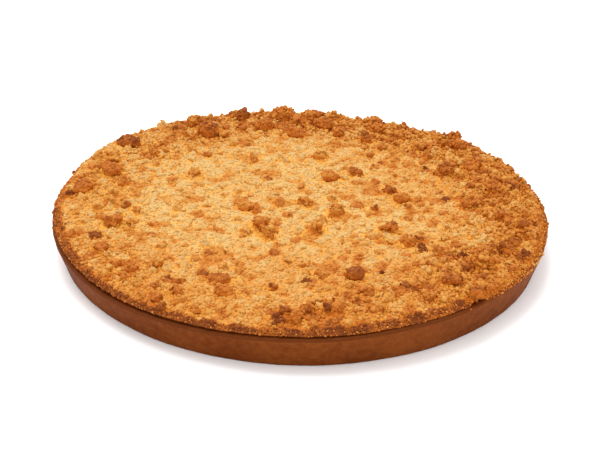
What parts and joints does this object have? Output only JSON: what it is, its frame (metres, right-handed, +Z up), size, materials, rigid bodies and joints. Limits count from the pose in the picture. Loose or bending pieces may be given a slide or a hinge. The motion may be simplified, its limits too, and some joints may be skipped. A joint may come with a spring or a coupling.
{
  "type": "crumble tart",
  "caption": "Whole round crumble tart: shallow pastry crust with a flared wall, filled level with its rim and heaped with browned crumble topping and larger lumps.",
  "frame": {"origin": "on the tart's axis, at the middle of its flat underside", "axes": "+Z up along the tart's axis, -Y towards the picture's near side, +X to the picture's right"},
  "size_m": [0.2805, 0.2795, 0.0334],
  "materials": {
    "crust": "browned baked pastry, satin to dull",
    "crumble": "golden baked crumbs, dull and coarse",
    "lump": "browned baked crumble lump, dull"
  },
  "bodies": {
    "root": {"crust": "crust", "crumble": "crumble", "lump_01": "lump", "lump_02": "lump", "lump_03": "lump", "lump_04": "lump", "lump_05": "lump", "lump_06": "lump", "lump_07": "lump", "lump_08": "lump", "lump_09": "lump", "lump_10": "lump", "lump_11": "lump", "lump_12": "lump", "lump_13": "lump", "lump_14": "lump", "lump_15": "lump", "lump_16": "lump", "lump_17": "lump", "lump_18": "lump"}
  },
  "joints": []
}
